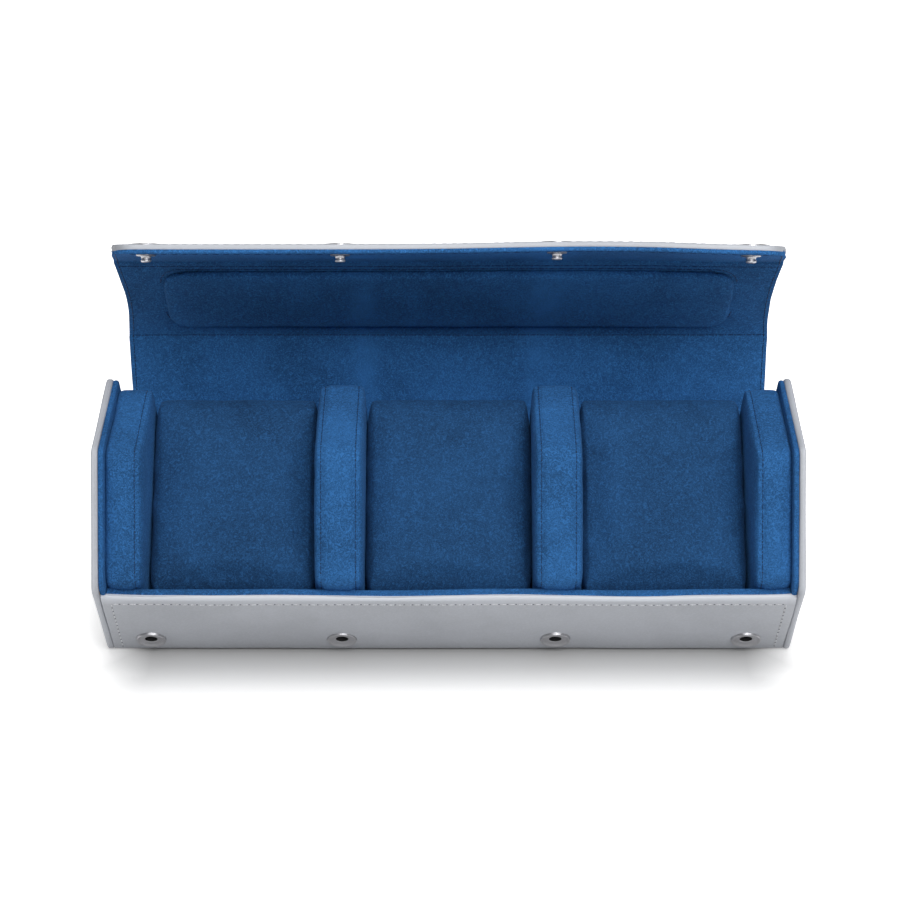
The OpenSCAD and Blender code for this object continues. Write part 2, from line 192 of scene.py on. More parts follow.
def round_ends(bm, radius, segments=3):
    """Rounds the edges round both ends of a bar."""
    xs = [v.co.x for v in bm.verts]
    ends = (min(xs), max(xs))
    rims = [e for e in bm.edges if any(all(abs(v.co.x - x) < 1e-7 for v in e.verts) for x in ends)]
    bmesh.ops.bevel(bm, geom=rims, offset=radius, affect="EDGES", segments=segments, profile=0.5,
                    material=-1, clamp_overlap=True)


def lifted(bm):
    """Moves an outline's middle up to its height above the base."""
    bmesh.ops.translate(bm, verts=bm.verts, vec=(0, 0, APOTHEM))


def piece(name, bm, material, sharp=50):
    """Turns a bmesh into a smooth-shaded object."""
    mesh = bpy.data.meshes.new(name)
    bm.to_mesh(mesh)
    bm.free()
    obj = bpy.data.objects.new(name, mesh)
    bpy.context.scene.collection.objects.link(obj)
    mesh.materials.append(material)
    mesh.polygons.foreach_set("use_smooth", [True] * len(mesh.polygons))
    mesh.set_sharp_from_angle(angle=math.radians(sharp))
    return obj


def keep_result(obj):
    """Takes a piece's mesh as its modifiers leave it."""
    mesh = bpy.data.meshes.new_from_object(obj.evaluated_get(bpy.context.evaluated_depsgraph_get()))
    obj.modifiers.clear()
    obj.data = mesh


# How far each kind of glued skin ripples, and over what length
WRAP_RIPPLE = (0.25 * MM, 26 * MM)
LINING_RIPPLE = (0.14 * MM, 14 * MM)
CAP_RIPPLE = (0.22 * MM, 30 * MM)
CAP_LINING_RIPPLE = (0.08 * MM, 9 * MM)
LID_RIPPLE = (0.24 * MM, 26 * MM)


def ripple(bm, unevenness, seed=0, fade=None):
    """Gives a surface the slight unevenness of a glued skin, less where fade gives less than 1."""
    amount, size = unevenness
    bm.normal_update()
    shift = Vector((seed * 7.3, seed * 3.1, seed * 5.7))
    moves = []
    for v in bm.verts:
        moves.append(v.normal * amount * noise.noise(v.co / size + shift) * (fade(v.co) if fade else 1))
    for v, move in zip(bm.verts, moves):
        v.co += move
        v.co.z = max(v.co.z, 0)


# ---- Materials ----


class Nodes:
    """A node tree, with short ways to add to it."""

    def __init__(self, tree):
        self.tree = tree

    def node(self, kind, inputs=None, **settings):
        """A new node with its inputs set or linked."""
        made = self.tree.nodes.new("ShaderNode" + kind)
        for key, value in settings.items():
            setattr(made, key, value)
        for key, value in (inputs or {}).items():
            if isinstance(value, bpy.types.NodeSocket):
                self.tree.links.new(value, made.inputs[key])
            else:
                made.inputs[key].default_value = value
        return made

    def spread(self, value, low, high, to_low=0.0, to_high=1.0):
        """Maps the range from low to high onto the one from to_low to to_high."""
        inputs = {"Value": value, "From Min": low, "From Max": high, "To Min": to_low, "To Max": to_high}
        return self.node("MapRange", inputs).outputs["Result"]

    def sum(self, *values, kind="ADD"):
        """The values added up, or put together by another kind of sum."""
        total = values[0]
        for value in values[1:]:
            total = self.node("Math", {0: total, 1: value}, operation=kind).outputs[0]
        return total

    def seen_directly(self):
        """1 for rays from the camera and in reflections and glass, 0 for rays that light the case."""
        rays = self.node("LightPath").outputs
        direct = [rays[f"Is {kind} Ray"] for kind in ("Camera", "Glossy", "Transmission")]
        return self.sum(*direct, kind="MAXIMUM")


class Finish(Nodes):
    """A material of one colour and roughness to begin with."""

    def __init__(self, name, color, roughness, **sockets):
        self.mat = bpy.data.materials.new(name)
        self.mat.use_nodes = True
        super().__init__(self.mat.node_tree)
        self.bsdf = self.tree.nodes["Principled BSDF"]
        self.bsdf.inputs["Base Color"].default_value = (*color, 1)
        self.bsdf.inputs["Roughness"].default_value = roughness
        for socket, value in sockets.items():
            self.bsdf.inputs[socket.replace("_", " ")].default_value = value
        self.coords = self.tree.nodes.new("ShaderNodeTexCoord").outputs["Object"]
        self.mat.diffuse_color = (*color, 1)

    def noise(self, scale, detail=2.0, roughness=0.5, distortion=0.0):
        """Noise on the object's own coordinates."""
        inputs = {"Vector": self.coords, "Scale": scale, "Detail": detail, "Roughness": roughness,
                  "Distortion": distortion}
        return self.node("TexNoise", inputs).outputs["Fac"]

    def blend(self, factor, low, high):
        """A colour between two colours or sockets."""
        mixed = self.node("Mix", {"Factor": factor}, data_type="RGBA")
        for slot, color in ((6, low), (7, high)):
            if isinstance(color, bpy.types.NodeSocket):
                self.tree.links.new(color, mixed.inputs[slot])
            else:
                mixed.inputs[slot].default_value = (*color, 1)
        return mixed.outputs[2]

    def bump(self, height, strength, distance, under=None):
        """A normal raised by a height, over another one if given."""
        inputs = {"Height": height, "Strength": strength, "Distance": distance}
        if under:
            inputs["Normal"] = under
        return self.node("Bump", inputs).outputs["Normal"]

    def link(self, value, socket):
        """Links a value to the surface."""
        self.tree.links.new(value, self.bsdf.inputs[socket])


def tint(color, share):
    """A colour made lighter or darker by a share."""
    return tuple(min(1, c * share) for c in color)


def suede(name, color, imprint=False):
    """Short nap that lies this way and that, with fibres about a millimetre long."""
    f = Finish(name, color, 0.92, Specular_IOR_Level=0.18, Sheen_Weight=0.12, Sheen_Roughness=0.4,
               Sheen_Tint=(0.12, 0.42, 1.0, 1.0))
    nap = f.noise(700, 2.5, 0.6, 2.6)
    fleck = f.noise(2600, 2.0, 0.6)
    brushed = f.noise(38, 3.0, 0.55, 0.6)
    patches = f.noise(9, 2.0, 0.5)
    tone = f.sum(f.spread(nap, 0.46, 0.66, -0.12, 0.5), f.spread(brushed, 0.35, 0.65, -0.11, 0.11),
                 f.spread(patches, 0.35, 0.65, -0.05, 0.05), f.spread(fleck, 0.4, 0.6, -0.14, 0.14), 0.5)
    base = f.blend(tone, tint(color, 0.4), tint(color, 1.6))
    if imprint:
        lain = f.node("Attribute", attribute_name="nap").outputs["Fac"]
        edges = f.spread(f.noise(60, 3.0, 0.6), 0.35, 0.65, 0.1, 0.6)
        base = f.blend(f.sum(lain, edges, kind="MULTIPLY"), base, tint(color, 1.75))
    f.link(base, "Base Color")
    under = f.bump(brushed, 0.2, 0.4 * MM)
    height = f.sum(nap, f.sum(fleck, 0.35, kind="MULTIPLY"))
    f.link(f.bump(height, 0.65, 0.36 * MM, under), "Normal")
    return f.mat


def leather(name, color):
    """Smooth calf leather with a fine pebble grain, and a painted highlight that makes it paler along its
    edges.
    """
    f = Finish(name, color, 0.46, Specular_IOR_Level=0.42)
    pebbles = f.node("TexVoronoi", {"Vector": f.coords, "Scale": 1050, "Smoothness": 0.6},
                     feature="SMOOTH_F1").outputs["Distance"]
    pores = f.noise(2300, 2.0, 0.6)
    clouds = f.noise(26, 3.0, 0.55, 0.4)
    creases = f.noise(120, 4.0, 0.6, 1.5)
    highlit = f.node("Attribute", attribute_name="painted_highlight").outputs["Fac"]
    tone = f.sum(f.spread(clouds, 0.35, 0.65, -0.28, 0.28), f.spread(creases, 0.35, 0.65, -0.16, 0.16),
                 f.spread(pebbles, 0.1, 0.6, 0.16, -0.16), f.spread(pores, 0.4, 0.6, -0.1, 0.1), 0.5)
    body = f.blend(tone, tint(color, 0.91), tint(color, 1.08))
    # Painted highlight: the leather is paler where its attribute says
    f.link(f.blend(highlit, body, tint(color, 1.32)), "Base Color")
    f.link(f.spread(creases, 0.3, 0.7, 0.42, 0.52), "Roughness")
    under = f.bump(creases, 0.12, 0.4 * MM)
    height = f.sum(f.sum(pebbles, -0.7, kind="MULTIPLY"), f.sum(pores, 0.4, kind="MULTIPLY"))
    f.link(f.bump(height, 0.3, 0.14 * MM, under), "Normal")
    return f.mat


def thread(name, color):
    """Waxed twisted thread."""
    f = Finish(name, color, 0.6, Specular_IOR_Level=0.2)
    twist = f.noise(3200, 1.0, 0.5)
    f.link(f.blend(f.spread(twist, 0.35, 0.65), tint(color, 0.75), tint(color, 1.2)), "Base Color")
    f.link(f.bump(twist, 0.3, 0.08 * MM), "Normal")
    return f.mat


def plated(name, color, roughness):
    """Bright nickel plate with the faint marks of handling."""
    f = Finish(name, color, roughness, Metallic=1.0)
    marks = f.noise(900, 3.0, 0.6)
    f.link(f.spread(marks, 0.3, 0.7, roughness * 0.8, roughness * 1.3), "Roughness")
    f.link(f.bump(marks, 0.06, 0.05 * MM), "Normal")
    return f.mat


def plain(name, color, roughness, grain, depth):
    """A dull finish with a grain, for board, foam and the painted shade in holes."""
    f = Finish(name, color, roughness)
    grains = f.noise(grain, 3.0, 0.6)
    f.link(f.blend(f.spread(grains, 0.3, 0.7), tint(color, 0.85), tint(color, 1.1)), "Base Color")
    f.link(f.bump(grains, 0.4, depth), "Normal")
    return f.mat


SUEDE_BLUE = (0.0205, 0.0965, 0.257)
LEATHER_GREY = (0.425, 0.443, 0.481)
SUEDE = suede("blue_suede", SUEDE_BLUE)
# The lid's suede is the same blue made 1.28 times lighter: painted light on the lid's inside
LID_SUEDE_PAINTED_LIGHT = suede("lid_suede_painted_light", tint(SUEDE_BLUE, 1.28), imprint=True)
# The pillows' suede is the same blue made darker: painted shade of the deep compartments and the watches'
# shadows
PILLOW_SUEDE_PAINTED_SHADE = suede("pillow_suede", tint(SUEDE_BLUE, 0.6))
LEATHER = leather("grey_leather", LEATHER_GREY)
BLUE_THREAD = thread("blue_thread", (0.008, 0.04, 0.12))
GREY_THREAD = thread("grey_thread", (0.6, 0.61, 0.64))
NICKEL = plated("nickel", (0.46, 0.46, 0.48), 0.42)
# Painted shade in the sockets' bores
BORE_SHADE = plain("socket_bore_shade", (0.012, 0.012, 0.014), 0.6, 900, 0.02 * MM)
# Painted shade for needle holes in leather and for the suede seams' line
NEEDLE_HOLE_SHADE = plain("needle_hole_shade", (0.12, 0.13, 0.15), 0.9, 900, 0.02 * MM)
SEAM_SHADOW_IN_SUEDE = plain("seam_shadow", (0.004, 0.018, 0.05), 0.9, 900, 0.02 * MM)
BOARD = plain("grey_board", (0.45, 0.36, 0.25), 0.85, 600, 0.1 * MM)
FOAM = plain("foam", (0.8, 0.78, 0.7), 0.95, 1500, 0.3 * MM)


def cad_finish(name):
    """The material that a CAD node is given by its name."""
    if name.endswith("foam"):
        return FOAM
    if name.endswith("board"):
        return BOARD
    if name.startswith("snap") or name in ("flap_caps", "flap_studs"):
        return NICKEL
    return LEATHER if name.endswith(("leather", "fold")) else SUEDE


def line_inside(mesh, low=0.0):
    """Gives suede to a leather piece's faces that look into the case, above a height at its back."""
    mesh.materials.append(SUEDE)
    for face in mesh.polygons:
        inwards = face.normal.dot(Vector((0, 0, APOTHEM)) - face.center) > 0
        if inwards and face.center.y > 0 and face.center.z > low:
            face.material_index = 1


for name, node in frame["nodes"].items():
    node.data.materials.clear()
    node.data.materials.append(cad_finish(name))
line_inside(frame["nodes"]["tray_fold"].data)


def set_painted_highlight(obj, share):
    """Writes how much a painted highlight makes each vertex paler, from 0 to 1, as share gives it for a
    place.
    """
    attribute = obj.data.attributes.new("painted_highlight", "FLOAT", "POINT")
    attribute.data.foreach_set("value", [max(0.0, min(1.0, share(v.co))) for v in obj.data.vertices])


# ---- Stitching ----


def resampled(row, pitch):
    """Places at an even pitch along a row of (point, look) pairs: middle, direction along it and look."""
    out, left = [], pitch / 2
    for (a, look_a), (b, look_b) in zip(row, row[1:]):
        length = (b - a).length
        while left < length:
            t = left / length
            out.append((a.lerp(b, t), (b - a).normalized(), look_a.lerp(look_b, t).normalized()))
            left += pitch
        left -= length
    return out


SEEK_FROM, SEEK_FAR = 3 * MM, 9 * MM
STITCH_LEAN, STITCH_SPREAD = 0.1, 0.12


def on_cloth(tree, at, look):
    """The place on a piece's surface that a look from above a point meets, or else the nearest one."""
    return tree.ray_cast(at - look * SEEK_FROM, look, SEEK_FAR)[0] or tree.find_nearest(at)[0]


# The thread, socket, and painted shade for the needle holes of each kind of seam
IN_SUEDE = (BLUE_THREAD, "suede", SEAM_SHADOW_IN_SUEDE)
IN_LEATHER = (GREY_THREAD, "leather", NEEDLE_HOLE_SHADE)
# Pitch, length and width of the stitches
CUSHION_STITCH = (3.3 * MM, 2.3 * MM, 0.42 * MM)
LID_STITCH = (3.4 * MM, 2.5 * MM, 0.42 * MM)
LID_PAD_STITCH = (3.4 * MM, 2.4 * MM, 0.45 * MM)
TRAY_STITCH = (2.8 * MM, 2.1 * MM, 0.62 * MM)
CAP_STITCH = (3.6 * MM, 2.6 * MM, 0.5 * MM)


def sewn(name, rows, cloth, kind, stitch):
    """Stitches on a piece. A row is a list of points, each with the way it looks at the piece."""
    pitch, length, width = stitch
    thread_finish, slot, hole_shade_finish = kind
    tree = BVHTree.FromObject(cloth, bpy.context.evaluated_depsgraph_get())
    bm = bmesh.new()
    holes = set()
    for row in rows:
        for middle, along, look in resampled(row, pitch):
            lean = STITCH_LEAN * noise.noise(middle * 900)
            half = along * length * (1 + STITCH_SPREAD * noise.noise(middle * 1700)) / 2
            a, b = on_cloth(tree, middle - half, look), on_cloth(tree, middle + half, look)
            if not 0.4 * length < (b - a).length < 1.6 * length:
                continue
            axis = (b - a).normalized()
            out = -(look - axis * look.dot(axis)).normalized()
            out = (out + axis.cross(out) * lean).normalized()
            turn = Matrix((axis.cross(out), axis, out)).transposed().to_4x4()
            size = Matrix.Diagonal((width / 2, (b - a).length / 2, width / 2, 1))
            at = Matrix.Translation((a + b) / 2)
            bmesh.ops.create_uvsphere(bm, u_segments=6, v_segments=5, radius=1,
                                      matrix=at @ turn @ size @ Matrix.Rotation(math.pi / 2, 4, "X"))
            gap = pitch - length
            size = Matrix.Diagonal((width * 0.55, gap / 2, width * 0.16, 1))
            at = Matrix.Translation(b + axis * gap / 2)
            hole = bmesh.ops.create_uvsphere(bm, u_segments=6, v_segments=3, radius=1,
                                             matrix=at @ turn @ size)
            holes.update(face for v in hole["verts"] for face in v.link_faces)
    # The needle holes are small dark blobs: painted shade
    for face in holes:
        face.material_index = 1
    obj = piece(name, bm, thread_finish, 80)
    obj.data.materials.append(hole_shade_finish)
    return obj


# ---- Tray ----

LIP_T = 1.3 * MM
LIP_DEEP = 2.6 * MM
WRAP_HALF = HALF_CASE - 2.35 * MM
RIM_Z = APOTHEM + FRONT_RIM


def tray_profile():
    """Outline of the leather wrap, from the front rim under the base to the back rim, both rolled over."""
    d, t = APOTHEM, LEATHER_T
    points = [on_line(FRONT_LOW, d, FRONT_RIM), meet(FRONT_LOW, d, BASE, d), meet(BASE, d, BACK_LOW, d),
              on_line(BACK_LOW, d, BACK_RIM), on_line(BACK_LOW, d - LIP_T, BACK_RIM),
              on_line(BACK_LOW, d - LIP_T, BACK_RIM - LIP_DEEP),
              on_line(BACK_LOW, d - t, BACK_RIM - LIP_DEEP - t),
              meet(BASE, d - t, BACK_LOW, d - t), meet(FRONT_LOW, d - t, BASE, d - t),
              on_line(FRONT_LOW, d - t, FRONT_RIM - LIP_DEEP - t),
              on_line(FRONT_LOW, d - LIP_T, FRONT_RIM - LIP_DEEP), on_line(FRONT_LOW, d - LIP_T, FRONT_RIM)]
    crest, edge = 1.1 * MM, 0.15 * MM
    return rounded(points, [crest, CORNER_R, CORNER_R, crest, edge, 0, 0, 0, 0, 0, 0, edge], 8)


def lining_profile():
    """Outline of the tray's lining, which turns over both rims."""
    outer, inner = APOTHEM - WALL + LINING_T, APOTHEM - WALL - 0.6 * MM
    rim = APOTHEM - LIP_T + 0.15 * MM
    front, back = FRONT_RIM + 0.25 * MM, BACK_RIM
    points = [on_line(FRONT_LOW, rim, front), on_line(FRONT_LOW, rim, front - LIP_DEEP),
              on_line(FRONT_LOW, outer, front - LIP_DEEP), meet(FRONT_LOW, outer, BASE, outer),
              meet(BASE, outer, BACK_LOW, outer), on_line(BACK_LOW, outer, back - LIP_DEEP),
              on_line(BACK_LOW, rim, back - LIP_DEEP), on_line(BACK_LOW, rim, back),
              on_line(BACK_LOW, inner, back), meet(BASE, inner, BACK_LOW, inner),
              meet(FRONT_LOW, inner, BASE, inner), on_line(FRONT_LOW, inner, front)]
    soft = 1.3 * MM
    return rounded(points, [soft * 0.6, 0, 0, 2 * MM, 2 * MM, 0, 0, soft * 0.6, soft, soft, soft, soft])


TRAY_CUTS = 90
SNAP_X = [x * MM for x in (-99.5, -35.67, 35.67, 99.5)]
SNAP_DROP = 37 * MM
SOCKET_HOLE, DRILL_DEEP = 4.9 * MM, 6 * MM
RIM_WAVE, RIM_WAVE_LONG = 0.7 * MM, 40 * MM
END_LIFT, END_LIFT_LONG = 0.9 * MM, 13 * MM
RIM_SHARE = 9 * MM
BACK_LIP = 4 * MM
# Painted highlight: the band at the front rim's top, and how pale it leaves the whole back
RIM_HIGHLIGHT_DEPTH, BACK_HIGHLIGHT = 1.2 * MM, 0.3
WRAP_EDGE_R = 0.45 * MM


def on_front(x):
    """Where a socket sits on the lower front side, its Z axis pointing out."""
    a = math.radians(FRONT_LOW)
    out = Vector((0, math.cos(a), math.sin(a)))
    up = Vector((0, math.sin(a), -math.cos(a)))
    at = Vector((x, 0, APOTHEM)) + out * APOTHEM + up * (SIDE / 2 - SNAP_DROP)
    return Matrix.Translation(at) @ Matrix((Vector((1, 0, 0)), -up, out)).transposed().to_4x4()


SOCKET_PLACES = [on_front(x) for x in SNAP_X]


def drill(obj, places, width):
    """Cuts round holes through a piece's skin."""
    bm = bmesh.new()
    for at in places:
        bmesh.ops.create_cone(bm, cap_ends=True, segments=32, radius1=width / 2, radius2=width / 2,
                              depth=DRILL_DEEP, matrix=at)
    bmesh.ops.recalc_face_normals(bm, faces=bm.faces)
    mesh = bpy.data.meshes.new("drills")
    bm.to_mesh(mesh)
    bm.free()
    drills = bpy.data.objects.new("drills", mesh)
    bpy.context.scene.collection.objects.link(drills)
    cut = obj.modifiers.new("Holes", "BOOLEAN")
    cut.operation = "DIFFERENCE"
    cut.object = drills
    cut.solver = "FAST"
    keep_result(obj)
    bpy.data.objects.remove(drills)


def wave_rim(bm):
    """Waves the front rim a little and raises its ends, where the caps hold it up."""
    for v in bm.verts:
        if v.co.y < 0:
            share = max(0.0, min(1.0, (v.co.z - RIM_Z) / RIM_SHARE + 1))
            wave = RIM_WAVE * noise.noise(Vector((v.co.x / RIM_WAVE_LONG, 0, 0)))
            v.co.z += share * (wave + END_LIFT * math.exp((abs(v.co.x) - WRAP_HALF) / END_LIFT_LONG))


bm = bar(tray_profile(), -WRAP_HALF, WRAP_HALF, TRAY_CUTS)
round_ends(bm, WRAP_EDGE_R)
lifted(bm)
wave_rim(bm)
ripple(bm, WRAP_RIPPLE)
tray_wrap = piece("tray_wrap", bm, LEATHER)
drill(tray_wrap, SOCKET_PLACES, SOCKET_HOLE)
line_inside(tray_wrap.data, APOTHEM + BACK_RIM - BACK_LIP)
# Painted highlight along the top of the front rim, and a little over the back
set_painted_highlight(tray_wrap, lambda co: 1 - (RIM_Z - RIM_HIGHLIGHT_DEPTH - co.z) / RIM_HIGHLIGHT_DEPTH if co.y < 0 else BACK_HIGHLIGHT)
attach(tray_wrap, "tray")
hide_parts("tray_leather")

bm = bar(lining_profile(), -HALF_TRAY, HALF_TRAY, TRAY_CUTS)
lifted(bm)
wave_rim(bm)
ripple(bm, LINING_RIPPLE, 2)
tray_lining = piece("tray_suede", bm, SUEDE)
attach(tray_lining, "tray")
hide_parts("tray_lining")

# ---- End caps ----


CAP_SKIN_T = 2.2 * MM
CAP_EDGE_R, CAP_LINING_EDGE_R = 0.75 * MM, 0.7 * MM
# Painted highlight on the cap's edge: how strong, how far in from the outer face, and how wide
CAP_HIGHLIGHT, CAP_HIGHLIGHT_IN, CAP_HIGHLIGHT_WIDE = 0.8, 0.5 * MM, 0.8 * MM
LINING_SET_IN, WRAP_CLEAR = 0.3 * MM, 0.1 * MM
CAP_CUTS = 12


def end_cap(side, name):
    """One end of the case: a leather face over its edge and a suede lining inside."""
    x_out, x_mid, x_in = (side * (HALF_CASE - depth) for depth in (0, CAP_SKIN_T, WALL))
    bm = bar(hexagon([0] * 6, CORNER_R), min(x_out, x_mid), max(x_out, x_mid), 1)
    round_ends(bm, CAP_EDGE_R, 4)
    lifted(bm)
    bm.normal_update()
    for k in range(1, CAP_CUTS):
        for axis in (Vector((0, 1, 0)), Vector((0, 0, 1))):
            everything = bm.verts[:] + bm.edges[:] + bm.faces[:]
            at = Vector((0, 0, APOTHEM)) + axis * SIDE * (2 * k / CAP_CUTS - 1)
            bmesh.ops.bisect_plane(bm, geom=everything, plane_co=at, plane_no=axis)
    ripple(bm, CAP_RIPPLE, 3 + side)
    skin = piece(f"{name}_cap_skin", bm, LEATHER)
    # Painted highlight along the cap's outer edge
    set_painted_highlight(skin, lambda co: CAP_HIGHLIGHT * (1 - abs(abs(co.x) - HALF_CASE + CAP_HIGHLIGHT_IN) / CAP_HIGHLIGHT_WIDE))
    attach(skin, "tray")
    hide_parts(f"{name}_end_leather")
    # The lining reaches the cap's edge above the tray's rims, and stops inside the leather wrap below them
    insets = [LINING_SET_IN] * 3 + [LEATHER_T + WRAP_CLEAR] * 3
    bm = bar(hexagon(insets, CORNER_R), min(x_in, x_mid), max(x_in, x_mid), 1)
    round_ends(bm, CAP_LINING_EDGE_R, 4)
    lifted(bm)
    ripple(bm, CAP_LINING_RIPPLE, 5 + side)
    lining = piece(f"{name}_cap_suede", bm, SUEDE)
    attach(lining, "tray")
    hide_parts(f"{name}_end_lining")
    return skin


left_cap = end_cap(-1, "left")
right_cap = end_cap(1, "right")

# ---- Pads, dividers and pillows: soft blocks of foam in suede ----


def outer_shell(node):
    """A copy of a CAD node's mesh, merged, without the surfaces of its hollow."""
    bm = bmesh.new()
    bm.from_mesh(frame["nodes"][node].data)
    bmesh.ops.remove_doubles(bm, verts=bm.verts, dist=1e-6)
    left, groups = set(bm.verts), []
    while left:
        seed = left.pop()
        group, edge = {seed}, [seed]
        while edge:
            v = edge.pop()
            for e in v.link_edges:
                w = e.other_vert(v)
                if w not in group:
                    group.add(w)
                    edge.append(w)
        left -= group
        groups.append(group)

    def reach(group):
        """How big a group is, as the sum of its sizes along the axes."""
        return sum(max(v.co[i] for v in group) - min(v.co[i] for v in group) for i in range(3))

    keep = max(groups, key=reach)
    bmesh.ops.delete(bm, geom=[v for v in bm.verts if v not in keep], context="VERTS")
    return bm


def remeshed(obj, voxel):
    """Gives a piece a mesh of even steps."""
    even = obj.modifiers.new("Even", "REMESH")
    even.mode = "VOXEL"
    even.voxel_size = voxel
    keep_result(obj)


def swell(objects, frames=20, pressure=4.0):
    """Blows the soft pieces up a little as cloth skins, all in one run."""
    for obj in objects:
        cloth = obj.modifiers.new("Swell", "CLOTH")
        cloth.settings.quality = 5
        cloth.settings.mass = 0.3
        cloth.settings.tension_stiffness = 12
        cloth.settings.compression_stiffness = 12
        cloth.settings.shear_stiffness = 5
        cloth.settings.bending_stiffness = 0.3
        cloth.settings.use_pressure = True
        cloth.settings.uniform_pressure_force = pressure
        cloth.settings.effector_weights.gravity = 0
        cloth.collision_settings.use_collision = False
    for k in range(1, frames + 1):
        bpy.context.scene.frame_set(k)
    for obj in objects:
        rest = [v.co.copy() for v in obj.data.vertices]
        keep_result(obj)
        cap = obj["cap"]
        for v, old in zip(obj.data.vertices, rest):
            move = v.co - old
            far = move.length
            v.co = old + move * (cap * math.tanh(far / cap) / far if far > 1e-9 else 0)
    bpy.context.scene.frame_set(1)


def soft_block(node, name, voxel, inset, cap, smooth=3, at=Matrix()):
    """A CAD block's outside as an even, smoothed skin, set in a little. Its cap is the most it may swell."""
    bm = outer_shell(node)
    bm.transform(at.inverted())
    bm.normal_update()
    obj = piece(name, bm, SUEDE, 180)
    remeshed(obj, voxel)
    bm = bmesh.new()
    bm.from_mesh(obj.data)
    for _ in range(smooth):
        bmesh.ops.smooth_vert(bm, verts=bm.verts, factor=0.5, use_axis_x=True, use_axis_y=True,
                              use_axis_z=True)
    bm.normal_update()
    for v in bm.verts:
        v.co -= v.normal * inset
    bm.to_mesh(obj.data)
    bm.free()
    obj["cap"] = cap
    return obj


SEAM_REACH = 1.3 * MM
SKIN_WAVE, SKIN_WAVE_LONG = 0.14 * MM, 9 * MM


def finished_block(obj, body, nodes, seams=(), depth=0.0):
    """Subdivides a soft block, presses its seams in and hands it to its body."""
    fine = obj.modifiers.new("Fine", "SUBSURF")
    fine.levels = 1
    fine.render_levels = 1
    keep_result(obj)
    mesh = obj.data
    bm = bmesh.new()
    bm.from_mesh(mesh)
    bm.normal_update()
    moves = []
    for v in bm.verts:
        nearest = min([abs(v.co.x - x) for x in seams] + [SEAM_REACH])
        press = depth * (1 - (nearest / SEAM_REACH) ** 2)
        wave = SKIN_WAVE * noise.noise(v.co / SKIN_WAVE_LONG)
        moves.append(v.normal * (wave - press))
    for v, move in zip(bm.verts, moves):
        v.co += move
    bm.to_mesh(mesh)
    bm.free()
    if not mesh.materials:
        mesh.materials.append(SUEDE)
    mesh.polygons.foreach_set("use_smooth", [True] * len(mesh.polygons))
    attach(obj, body)
    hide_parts(*nodes)


PAD_VOXEL, PAD_SWELL, PAD_FILL = 1.2 * MM, 0.5 * MM, 0.8
PILLOW_VOXEL, PILLOW_IN, PILLOW_SWELL, PILLOW_FILL = 2.2 * MM, 0.9 * MM, 1.6 * MM, 0.7
pads = {}
for side in ("left", "right"):
    for node, name in (("end_pad", "end_cushion"), ("divider", "divider_cushion")):
        node = f"{side}_{node}"
        pads[node] = soft_block(node, f"{side}_{name}", PAD_VOXEL, 0, PAD_SWELL, smooth=4)
pillows = {}
for side in ("left", "middle", "right"):
    node = f"{side}_pillow"
    pillows[node] = soft_block(node, f"{node}_cushion", PILLOW_VOXEL, PILLOW_IN, PILLOW_SWELL)
swell([*pads.values(), *pillows.values()])

SEAM_IN, SEAM_DEEP = 1.9 * MM, 0.35 * MM
SEAM_LOW = 34 * MM
seams_of = {}
for node, obj in pads.items():
    lo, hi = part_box(node)
    if "divider" in node:
        seams_of[node] = (lo.x + SEAM_IN, hi.x - SEAM_IN)
    else:
        seams_of[node] = (lo.x + SEAM_IN,) if lo.x > 0 else (hi.x - SEAM_IN,)
    covered = (node, node.replace("pad", "foam")) if "pad" in node else (node,)
    finished_block(obj, "tray", covered, seams_of[node], SEAM_DEEP)
for node, obj in pillows.items():
    finished_block(obj, "pillow_" + node.split("_")[0], (node, node + "_foam"))
    # The pillows take the suede with painted shade
    obj.data.materials[0] = PILLOW_SUEDE_PAINTED_SHADE


def seam_row(obj, x, low):
    """The line round a cushion where a plane across X cuts it above a height, each point looking in."""
    bm = bmesh.new()
    bm.from_mesh(obj.data)
    everything = bm.verts[:] + bm.edges[:] + bm.faces[:]
    cut = bmesh.ops.bisect_plane(bm, geom=everything, plane_co=(x, 0, 0), plane_no=(1, 0, 0),
                                 clear_inner=True, clear_outer=True)
    points = [v.co.copy() for v in cut["geom_cut"] if isinstance(v, bmesh.types.BMVert)]
    bm.free()
    middle = sum(points, Vector()) / len(points)
    points.sort(key=lambda p: math.atan2(p.y - middle.y, p.z - middle.z))
    return [(p, (middle - p).normalized()) for p in points if p.z > low]


for node, obj in pads.items():
    rows = [seam_row(obj, x, SEAM_LOW) for x in seams_of[node]]
    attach(sewn(f"{node}_stitches", rows, obj, IN_SUEDE, CUSHION_STITCH), "tray")

# ---- Lid ----


def flat(p):
    """A place in the YZ plane."""
    return Vector((p.y, p.z))


class Fold:
    """The fold between two of the lid's panels: their places, bodies, and how far from it they bend; the
    bodies and that reach are not used.

    The first panel's layers lie deeper by a lift."""

    def __init__(self, first, second, bodies, reach, lift=0.0):
        self.first, self.second = first, second
        self.bodies, self.reach, self.lift = bodies, reach, lift

    def crossing(self, z1, z2):
        """Where one depth of the first panel meets another of the second."""
        a, b = (flat(self.first @ Vector((0, y, z1 + self.lift))) for y in (0, 1))
        c, d = (flat(self.second @ Vector((0, y, z2))) for y in (0, 1))
        u, w = b - a, d - c
        t = (c - a).cross(w) / u.cross(w)
        return a + u * t

    def bend(self, obj):
        """Bakes a piece's placement into its mesh."""
        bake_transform(obj)


back_fold = Fold(AT_BACK, AT_TOP, ("back_panel", "top_panel"), 7 * MM, PIVOT_LIFT)
top_fold = Fold(AT_TOP, AT_FRONT, ("top_panel", "front_panel"), 6 * MM)
front_fold = Fold(AT_FRONT, AT_FLAP, ("front_panel", "flap"), 6 * MM)
LID_CUTS = 100
FOLD_STEPS = 12
FLAP_STEP = 1.6 * MM
LID_EDGE_R = 0.35 * MM
JOIN_FADE = 7 * MM


